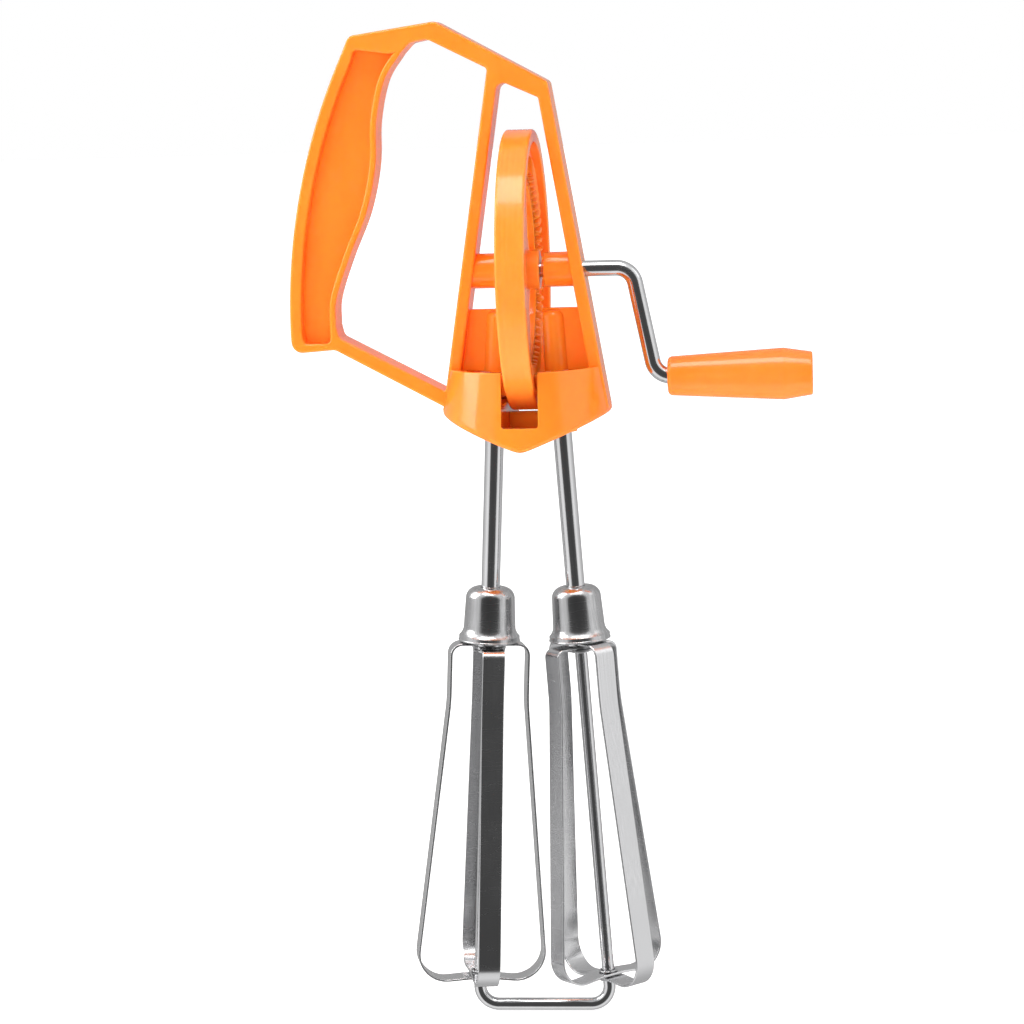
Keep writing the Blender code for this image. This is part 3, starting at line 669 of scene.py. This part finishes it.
def box_mesh(name, low, high, edge=0.0):
    """A block with rounded edges between two corners."""
    low, high = Vector(low), Vector(high)
    edit = bmesh.new()
    bmesh.ops.create_cube(edit, size=1)
    bmesh.ops.scale(edit, vec=high - low, verts=edit.verts)
    bmesh.ops.translate(edit, vec=(low + high) / 2, verts=edit.verts)
    if edge:
        edges = edit.edges[:]
        bmesh.ops.bevel(edit, geom=edges, offset=edge, segments=4, affect="EDGES", profile=0.5)
    return mesh_from(name, edit)


def barrel(name, radius, low, high, edge=0):
    """A round post along Z, its top rounded if it has an edge."""
    shoulder = [(radius, high)]
    if edge:
        shoulder = arc((radius - edge, high - edge), edge, math.pi / 2, 0, 6)
    return lathe(name, [(0, high), *shoulder, (radius, low), (0, low)], 64)


def well_ribs():
    """The web and the two ribs that stand in the wheel's slot, under its rim."""
    reach = SLOT_HALF_WIDTH + 1
    low = (-reach, -WEB_HALF, SLOT_FLOOR - 1)
    high = (reach, WEB_HALF, -WHEEL_RADIUS - WELL_CLEARANCE)
    ribs = [box_mesh("well_web", low, high, 0.3)]
    for side, sign in SIDES.items():
        low_x, high_x = sorted(sign * x for x in WELL_RIB)
        low, high = (low_x, -25, -50), (high_x, 25, WELL_RIB_TOP)
        ribs.append(box_mesh(f"{side}_well_rib", low, high, 0.2))
    return ribs


def make_frame():
    outlines = [frame_outline(), hand_opening(), grip_recess(), between_struts()]
    rim = plate("rim", outlines, HALF_DEPTH, 0.8, 5)
    added = [
        plate("grip_web", [grip_recess(WEB_SINK)], WEB_HALF),
        plate("strut_web", [between_struts(WEB_SINK, WEB_TOP)], WEB_HALF, 0.35, 3),
        housing(),
    ]
    low = (-SLOT_HALF_WIDTH, -SLOT_HALF_DEPTH, SLOT_FLOOR)
    high = (SLOT_HALF_WIDTH, SLOT_HALF_DEPTH, WEB_TOP + 2)
    holes = [box_mesh("slot", low, high, 0.8)]
    for side, sign in SIDES.items():
        shaft = CRANK.inverted() @ SHAFTS[side]
        shaft.translation /= MM
        inwards = Matrix.Rotation(-sign * math.pi / 2, 4, "Y")
        added.append(moved(barrel(f"{side}_boss", *CRANK_BOSS), inwards))
        added.append(moved(barrel(f"{side}_dome", *WIRE_POST), shaft))
        added.append(moved(barrel(f"{side}_bush", *TUBE_BUSH), shaft))
        for name, radius, low, high in SHAFT_SPACES:
            holes.append(moved(barrel(f"{side}_{name}", radius, low, high), shaft))
    holes.append(moved(barrel("crank_bore", ROD_BORE, -14.3, 24), ALONG_X))
    mesh = boolean(rim, added, "UNION")
    mesh = boolean(mesh, holes, "DIFFERENCE")
    mesh = boolean(mesh, well_ribs(), "UNION")
    piece("frame_body", mesh, CRANK, "frame", FRAME_PLASTIC, ["frame"])


# ---------------------------------------------------------------- gears

TEETH = 66
CROWN_INNER = 30.4
CROWN_OUTER = 36
WHEEL_HALF_RIM = 4.5
WINDOW_RADII = (11, 27.5)
SPOKE_HALF_WIDTH = 5

# How large a crown tooth's section is along its length, from end to end as -1 to 1.
TOOTH_SIZES = ((-1, 0.02), (-0.97, 0.5), (-0.85, 0.9), (-0.6, 1))
TOOTH_SIZES += ((0.6, 1), (0.85, 0.9), (0.97, 0.5), (1, 0.02))

PINION_TEETH = 15
PINION_HALF_LENGTH = 3.1
PINION_MIDDLE = -35.7

# A pinion tooth's flank as (radius, half width), from the root up.
PINION_FLANK = ((6.2, 1), (7.4, 0.7), (8.1, 0.45), (8.3, 0.25))


def wheel_profile():
    """Half the wheel's section as (radius, x), from the hub's face out to the rim and over it."""
    rim_inner = WHEEL_RADIUS - 4
    half = WHEEL_HALF_RIM
    hub = arc((5.7, WHEEL_HALF_HUB - 0.5), 0.5, math.pi / 2, 0, 4)
    root = arc((6.9, 1.7), 0.7, math.pi, 1.5 * math.pi, 4)
    corner = arc((rim_inner - 0.8, 1.8), 0.8, -math.pi / 2, 0, 4)
    lip = arc((rim_inner + 0.5, half - 0.5), 0.5, math.pi, math.pi / 2, 4)
    edge = arc((WHEEL_RADIUS - 0.9, half - 0.9), 0.9, math.pi / 2, 0, 6)
    seams = []
    for x in (2.5, 0.9):
        seams += [(WHEEL_RADIUS, x + 0.3), (WHEEL_RADIUS - 0.1, x), (WHEEL_RADIUS, x - 0.3)]
    return [*hub, *root, *corner, *lip, *edge, *[Vector(point) for point in seams]]


def wheel_window(index):
    """The cutter for one opening between the spokes."""
    quarter = math.pi / 2
    sides = []
    for radius in WINDOW_RADII:
        edge = math.asin(SPOKE_HALF_WIDTH / radius)
        sides.append(arc((0, 0), radius, edge, quarter - edge, 14))
    outline = sides[0] + sides[1][::-1]
    window = plate(f"window_{index}", [outline], 3)
    turn = Matrix.Rotation(index * quarter, 4, "X") @ Matrix.Rotation(quarter, 4, "Z")
    return moved(window, turn)


def crown_tooth(edit, turn, face):
    """A rounded ridge: a bell-shaped section that sinks away at both ends of its length."""
    middle = (CROWN_INNER + CROWN_OUTER) / 2
    half = (CROWN_OUTER - CROWN_INNER) / 2
    rows = []
    for along, size in TOOTH_SIZES:
        row = []
        for part in range(9):
            angle = math.pi * part / 8
            width = 0.92 * math.cos(angle) * (1 - 0.35 * math.sin(angle) * size)
            height = 0.8 + (2.2 * math.sin(angle) ** 0.8) * size
            corner = Vector((face * height, width, -middle - along * half))
            row.append(edit.verts.new(turn @ corner))
        rows.append(row)
    for row, after in zip(rows, rows[1:]):
        for part in range(8):
            edit.faces.new((row[part], row[part + 1], after[part + 1], after[part]))
        edit.faces.new((row[8], row[0], after[0], after[8]))
    edit.faces.new(rows[0])
    edit.faces.new(rows[-1])


def make_gear_wheel():
    half = wheel_profile()
    other = [Vector((point.x, -point.y)) for point in reversed(half)]
    bore = [(ROD_BORE, -WHEEL_HALF_HUB), (ROD_BORE, WHEEL_HALF_HUB)]
    wheel = lathe("wheel", [*half, *other, *bore], 192, closed=True)
    wheel = moved(wheel, ALONG_X)
    wheel = boolean(wheel, [wheel_window(index) for index in range(4)], "DIFFERENCE")
    edit = bmesh.new()
    for tooth in range(TEETH):
        turn = Matrix.Rotation(2 * math.pi * tooth / TEETH, 4, "X")
        for face in (-1, 1):
            crown_tooth(edit, turn, face)
    teeth = mesh_from("teeth", edit)
    mesh = joined("gear_wheel_fine", [wheel, teeth])
    piece("crown_gear", mesh, CRANK, "crank", GEAR_PLASTIC, ["gear_wheel"])


def make_pinion(side):
    flanks = [(radius, -half) for radius, half in PINION_FLANK]
    flanks += reversed(PINION_FLANK)
    outline = []
    for tooth in range(PINION_TEETH):
        middle = (tooth + 0.5) * 2 * math.pi / PINION_TEETH
        for radius, half in flanks:
            angle = middle + half / radius
            outline.append(radius * Vector((math.cos(angle), math.sin(angle))))
    bore = arc((0, 0), TUBE_HOLE, 0, 2 * math.pi, 48)[:-1]
    mesh = plate(f"{side}_pinion_fine", [outline, bore], PINION_HALF_LENGTH, 0.12, 2)
    mesh = moved(mesh, Matrix.Rotation(-math.pi / 2, 4, "X"))
    turn = Matrix.Rotation(0 if side == "left" else math.pi, 4, "Z")
    mesh = moved(mesh, Matrix.Translation((0, 0, PINION_MIDDLE)) @ turn)
    beater_piece(side, "pinion_gear", mesh, "pinion_plastic", PINION_PLASTIC, "pinion")


# ---------------------------------------------------------------- crank and knob

CRANK_START = -13.4
CRANK_BENDS = (34.1, 40.9)
BEND_RADIUS = 6
KNOB_WIDEST = 81
KNOB_CAP_DEPTH = 7.4


def elbow(before, corner, after, radius, steps=16):
    """The points of a rounded bend at a corner."""
    return rounded([(*before, 0), (*corner, radius), (*after, 0)], steps)[1:-1]


def make_crank():
    knob_z = (KNOB.translation.z - CRANK.translation.z) / MM
    start = Vector((CRANK_START, 0))
    first, second = Vector((CRANK_BENDS[0], 0)), Vector((CRANK_BENDS[1], knob_z))
    end = Vector((ROD_END - 0.6, knob_z))
    path = [start, Vector((0, 0)), Vector((22, 0))]
    path += elbow(start, first, second, BEND_RADIUS)
    path += elbow(first, second, end, BEND_RADIUS)
    path.append(end)
    mesh = rod("crank_rod_fine", path, ROD_RADIUS, 40)
    piece("bent_crank", mesh, CRANK, "crank", ROD_STEEL, ["crank_rod"])
    low, high = (place - KNOB_X for place in extent("knob_push_nut", 0))
    nut = [(ROD_BORE, high), (3.9, high), (4.4, high - 0.25), (4.4, low), (ROD_BORE, low)]
    mesh = moved(lathe("nut_fine", nut, 64, closed=True), ALONG_X)
    piece("push_nut", mesh, KNOB, "crank", WASHER_STEEL, ["knob_push_nut"])


def make_knob():
    """Two cones that meet near the outer end, with rounded ends and a faint moulding step."""
    low, high = KNOB_LOW - KNOB_X, KNOB_HIGH - KNOB_X
    widest = KNOB_WIDEST - KNOB_X
    cap_seat = high - KNOB_CAP_DEPTH
    outside = rounded(
        [
            (5.2, high, 0.15),
            (6.75, high, 0.6),
            (8.15, widest, 2.2),
            (6.1, low, 1.5),
            (ROD_BORE, low, 0.2),
            (ROD_BORE, cap_seat, 0.1),
            (5.2, cap_seat, 0.1),
        ],
        8,
    )
    mesh = moved(lathe("knob_fine", outside, 128, closed=True), ALONG_X)
    piece("crank_handle", mesh, KNOB, "knob", KNOB_PLASTIC, ["crank_knob"])
    cap_low, cap_high = (place - KNOB_X for place in extent("knob_end_cap", 0))
    rim = arc((4.4, cap_high - 0.9), 0.5, math.pi / 2, 0, 5)
    cap = [(0, cap_high), (2.4, cap_high - 0.1), *rim, (4.9, cap_low), (0, cap_low)]
    mesh = moved(lathe("cap_fine", cap, 96), ALONG_X)
    piece("handle_cap", mesh, KNOB, "knob", KNOB_PLASTIC, ["knob_end_cap"])


# ---------------------------------------------------------------- beaters

# Heights along a shaft's axis, in mm from the height of the crank's axis.
TUBE_TOP = -32.8
TUBE_FOOT = -122.5
TUBE_BORE = 2.35
THRUST_WASHER = (4.8, -39.1, -39.8)
CLAMP_WASHER = (5.2, -121.1, -121.8)
FERRULE_TOP = -101
FERRULE_WAIST = -113.6
FERRULE_FOOT = -118.6
BLADE_TOP = -118.9
BLADE_WAIST = -138
BLADE_BELLY = -231.2
BLADE_FOOT = -229.6

# Radii in mm, and the blades' half width along the strip.
FERRULE_SHOULDER_RADIUS = 7.85
FERRULE_WAIST_RADIUS = 8.3
FERRULE_FOOT_RADIUS = 9.9
BLADE_NECK_RADIUS = 12.9
BLADE_BELLY_RADIUS = 21.9
BLADE_HALF_WIDTH = 3.6
BLADE_ANGLES = {"left": math.radians(104.4), "right": math.radians(41)}
WIRE_TOP = -16.2


def beater_piece(side, name, mesh, slot, material, node, body=None, sharp=38):
    """A piece on one side's shaft, which rides its beater unless a body is named."""
    body = body or f"{side}_beater"
    nodes = [f"{side}_{node}"]
    piece(f"{side}_{name}", mesh, SHAFTS[side], body, material, nodes, sharp)


def half_loop(inset):
    """The blade's line on one side of the shaft, moved in by inset, as (radius, z)."""
    top = BLADE_TOP - inset
    foot = BLADE_FOOT + inset
    neck = BLADE_NECK_RADIUS - inset
    corners = [
        (0, top, 0),
        (neck, top, 4 - inset),
        (neck, BLADE_WAIST, 70 + inset),
        (BLADE_BELLY_RADIUS - inset, BLADE_BELLY + inset, 9.5 - inset),
        (4, foot, 0),
        (0, foot, 0),
    ]
    return rounded(corners, 14)[1:-1]


def blade_loop(name, angle, inset):
    """A strip with softly rounded edges bent into a closed loop, with eyes at top and foot."""
    lines = []
    for depth in (inset, inset + SHEET):
        half = half_loop(depth)
        lines.append(half + [Vector((-point.x, point.y)) for point in reversed(half)])
    strip = plate(name, lines, BLADE_HALF_WIDTH, 0.3, 4)
    turn = Matrix.Rotation(angle - math.pi / 2, 4, "Z")
    strip = moved(strip, turn)
    top, foot = BLADE_TOP - inset, BLADE_FOOT + inset
    eye = barrel(name + "_eye", 5.4, top - SHEET, top, 0.1)
    holes = [
        barrel(name + "_tube_hole", TUBE_HOLE, top - 3, top + 2),
        barrel(name + "_eyelet_hole", 2.9, foot - 2, foot + 3),
    ]
    return boolean(boolean(strip, [eye], "UNION"), holes, "DIFFERENCE")


def ferrule_mesh():
    """A drawn bell: round shoulder, slightly conical wall, flared foot with a rolled edge."""
    top, foot = FERRULE_TOP, FERRULE_FOOT
    bend, flare_bend, roll, soft = 3.6, 4, 0.35, 0.4
    shoulder = arc((FERRULE_SHOULDER_RADIUS - bend, top - bend), bend, math.pi / 2, 0, 12)
    flare_centre = (FERRULE_WAIST_RADIUS + flare_bend, FERRULE_WAIST)
    flare = arc(flare_centre, flare_bend, math.pi, math.radians(230), 9)
    roll_centre = (FERRULE_FOOT_RADIUS - roll, foot + 0.55)
    rolled = arc(roll_centre, roll, math.radians(60), -math.pi / 2, 6)
    wall = [*shoulder, *flare]
    outside = [Vector((3.75, top)), *wall, *rolled]
    middle = [Vector((TUBE_HOLE, top)), *wall, Vector((9.8, foot + 0.6))]
    inside = moved_aside(middle, -SHEET)
    inside[0].x = TUBE_HOLE
    inside[-1] = Vector((9.0, foot + 0.2))
    hole = arc((3.75, top - soft), soft, math.pi, math.pi / 2, 4)
    return lathe("ferrule_fine", [*hole[:-1], *outside, *inside[::-1]], 128, closed=True)


def sleeve(name, inner, outer, top, bottom, inner_edge, outer_edge, steps):
    """A tube or washer round the shaft, with rounded edges."""
    corners = [(inner, top, inner_edge), (outer, top, outer_edge)]
    corners += [(outer, bottom, outer_edge), (inner, bottom, inner_edge)]
    return lathe(name, rounded(corners, steps), 72, closed=True)


def washer(name, outer, top, bottom):
    return sleeve(name, TUBE_HOLE, outer, top, bottom, 0.12, 0.12, 3)


def eyelet_mesh():
    """A rolled eyelet: a short sleeve with a rounded flange at each end."""
    low, high = BLADE_FOOT - GAP, BLADE_FOOT + 2 * SHEET + 2 * GAP
    flange, soft, neck = 2.95, 0.2, 2.6
    mouth = WIRE_BORE + 0.15
    upper = arc((flange, high + soft), soft, math.pi / 2, -math.pi / 2, 6)
    lower = arc((flange, low - soft), soft, math.pi / 2, -math.pi / 2, 6)
    section = [(mouth, high + 2 * soft), *upper, (neck, high), (neck, low), *lower]
    section += [(mouth, low - 2 * soft), (WIRE_BORE, low - soft), (WIRE_BORE, high + soft)]
    return lathe("eyelet_fine", section, 72, closed=True)


def make_beater(side):
    make_pinion(side)
    tube = (TUBE_BORE, TUBE_RADIUS, TUBE_TOP, TUBE_FOOT, 0.15, 0.2, 4)
    mesh = sleeve(f"{side}_tube_fine", *tube)
    beater_piece(side, "shaft_tube", mesh, "tube_steel", TUBE_STEEL, "tube")
    beater_piece(side, "bell", ferrule_mesh(), "ferrule_steel", FERRULE_STEEL, "ferrule")
    steel_slot = ("washer_steel", WASHER_STEEL)
    mesh = washer(f"{side}_clamp_fine", *CLAMP_WASHER)
    beater_piece(side, "clamp", mesh, *steel_slot, "clamp_washer")
    mesh = washer(f"{side}_thrust_fine", *THRUST_WASHER)
    beater_piece(side, "thrust", mesh, *steel_slot, "thrust_washer", body="frame")
    beater_piece(side, "rivet", eyelet_mesh(), *steel_slot, "eyelet")
    for label, quarter, inset in (("outer", 0, 0), ("inner", math.pi / 2, SHEET + GAP)):
        angle = BLADE_ANGLES[side] + quarter
        mesh = blade_loop(f"{side}_{label}_blades_fine", angle, inset)
        blade = (f"{label}_blades", mesh, "blade_steel", BLADE_STEEL, f"{label}_blade_loop")
        beater_piece(side, *blade, sharp=50)


def make_guide_wire():
    """The U-shaped wire: two leaning legs inside the shafts and a bar below the blades."""
    bar_z = WIRE_LOWEST + WIRE_RADIUS

    def leg_x(z):
        return SHAFT_X - math.tan(LEAN) * z

    top = Vector((leg_x(WIRE_TOP), WIRE_TOP))
    corner = Vector((leg_x(bar_z), bar_z))
    bend = elbow(top, corner, Vector((-corner.x, corner.y)), BEND_RADIUS)
    right = [top, *bend]
    left = [Vector((-point.x, point.y)) for point in reversed(right)]
    mesh = rod("wire_fine", right + left, WIRE_RADIUS, 36)
    piece("u_wire", mesh, CRANK, "frame", ROD_STEEL, ["guide_wire"])


make_frame()
make_gear_wheel()
make_crank()
make_knob()
make_guide_wire()
for side in SIDES:
    make_beater(side)


# ---------------------------------------------------------------- studio

CAMERA_YAW = math.radians(6.18)
CAMERA_PITCH = math.radians(7.6)
CAMERA_ROLL = math.radians(-1.74)
CAMERA_DISTANCE = 1.0107858
CAMERA_TARGET = Vector((0.0529871, 0, -0.1028621))
CAMERA_SENSOR = 36
CAMERA_LENS = 111.5859375
FLOOR_SIZE = 30
FLOOR_GAP = 0.0002

# The world's levels, from behind the object (0) to behind the camera (1).
WORLD_LEVELS = ((0.0, 0.45), (0.33, 0.6), (0.5, 0.8), (0.63, 1.0))
WORLD_LEVELS += ((0.815, 0.95), (0.872, 0.1), (1.0, 0.07))


def make_floor():
    """A wide pale floor just under the guide wire's bar."""
    edit = bmesh.new()
    bmesh.ops.create_grid(edit, x_segments=24, y_segments=24, size=FLOOR_SIZE / 2)
    mesh = mesh_from("studio_floor", edit)
    floor = new_object("studio_floor", mesh)
    floor.location = (CRANK.translation.x, 0, cad_bounds[0][2] - FLOOR_GAP)
    nodes = Nodes("floor_white")
    grain = nodes.ramp(nodes.noise(40, 3.0), 0.3, 0.7, 0.6, 0.7)
    nodes.link(grain, nodes.shader.inputs["Roughness"])
    nodes.set(Base_Color=(0.9, 0.9, 0.9, 1), Emission_Strength=0.6)
    nodes.shader.inputs["Emission Color"].default_value = (1, 1, 1, 1)
    nodes.shader.inputs["Specular IOR Level"].default_value = 0.1
    mesh.materials.append(nodes.material)
    floor.visible_glossy = False


def make_world():
    """White all round, with the dark of the room behind the camera for the steel to show."""
    world = bpy.data.worlds.new("studio")
    bpy.context.scene.world = world
    world.use_nodes = True
    tree = world.node_tree
    tree.nodes.clear()
    place = tree.nodes.new("ShaderNodeTexCoord")
    facing = tree.nodes.new("ShaderNodeVectorMath")
    facing.operation = "DOT_PRODUCT"
    facing.inputs[1].default_value = (math.sin(CAMERA_YAW), -math.cos(CAMERA_YAW), 0.05)
    tree.links.new(place.outputs["Generated"], facing.inputs[0])
    ramp = tree.nodes.new("ShaderNodeValToRGB")
    while len(ramp.color_ramp.elements) < len(WORLD_LEVELS):
        ramp.color_ramp.elements.new(0.5)
    for element, (position, level) in zip(ramp.color_ramp.elements, WORLD_LEVELS):
        element.position = position
        element.color = (level, level, level, 1)
    half = tree.nodes.new("ShaderNodeMapRange")
    half.inputs["From Min"].default_value = -1
    tree.links.new(facing.outputs["Value"], half.inputs["Value"])
    tree.links.new(half.outputs["Result"], ramp.inputs["Fac"])
    seen = tree.nodes.new("ShaderNodeLightPath")
    shown = tree.nodes.new("ShaderNodeMix")
    shown.data_type = "RGBA"
    colours = [item for item in shown.inputs if item.type == "RGBA"]
    colours[1].default_value = (1, 1, 1, 1)
    tree.links.new(seen.outputs["Is Camera Ray"], shown.inputs["Factor"])
    tree.links.new(ramp.outputs["Color"], colours[0])
    background = tree.nodes.new("ShaderNodeBackground")
    output = tree.nodes.new("ShaderNodeOutputWorld")
    mixed = next(item for item in shown.outputs if item.type == "RGBA")
    tree.links.new(mixed, background.inputs["Color"])
    tree.links.new(background.outputs["Background"], output.inputs["Surface"])


def softbox(name, azimuth, elevation, distance, size, power, glossy=True):
    """An area light that faces the object, seen from the camera's side as azimuth 0."""
    data = bpy.data.lights.new(name, "AREA")
    data.shape = "RECTANGLE"
    data.size, data.size_y = size
    data.energy = power
    light = new_object(name, data)
    a = math.radians(azimuth) + CAMERA_YAW
    e = math.radians(elevation)
    out = Vector((math.sin(a) * math.cos(e), -math.cos(a) * math.cos(e), math.sin(e)))
    light.location = CAMERA_TARGET + distance * out
    light.rotation_euler = out.to_track_quat("Z", "Y").to_euler()
    light.visible_camera = False
    light.visible_glossy = glossy
    return light


def make_camera():
    cy, sy = math.cos(CAMERA_YAW), math.sin(CAMERA_YAW)
    cp, sp = math.cos(CAMERA_PITCH), math.sin(CAMERA_PITCH)
    back = Vector((sy * cp, -cy * cp, sp))
    right = Vector((cy, sy, 0))
    up = back.cross(right)
    roll = Matrix.Rotation(CAMERA_ROLL, 3, back)
    camera = new_object("camera", bpy.data.cameras.new("camera"))
    camera.data.sensor_width = CAMERA_SENSOR
    camera.data.lens = CAMERA_LENS
    turned = Matrix((roll @ right, roll @ up, back)).transposed().to_4x4()
    turned.translation = CAMERA_TARGET + back * CAMERA_DISTANCE
    camera.matrix_world = turned
    bpy.context.scene.camera = camera


make_floor()
make_world()
softbox("left_softbox", -91, 30, 1.3, (0.75, 1.0), 10)
softbox("right_softbox", 84, 36, 1.6, (0.5, 0.8), 0.8)
softbox("top_softbox", -10, 72, 1.4, (1.0, 0.6), 10)
softbox("front_fill", -34, 28, 1.8, (1.2, 1.2), 5.5, glossy=False)
softbox("front_fill_low", -9, 8, 1.5, (0.5, 0.4), 7.5, glossy=False)
make_camera()
bpy.context.scene.view_settings.view_transform = "Standard"
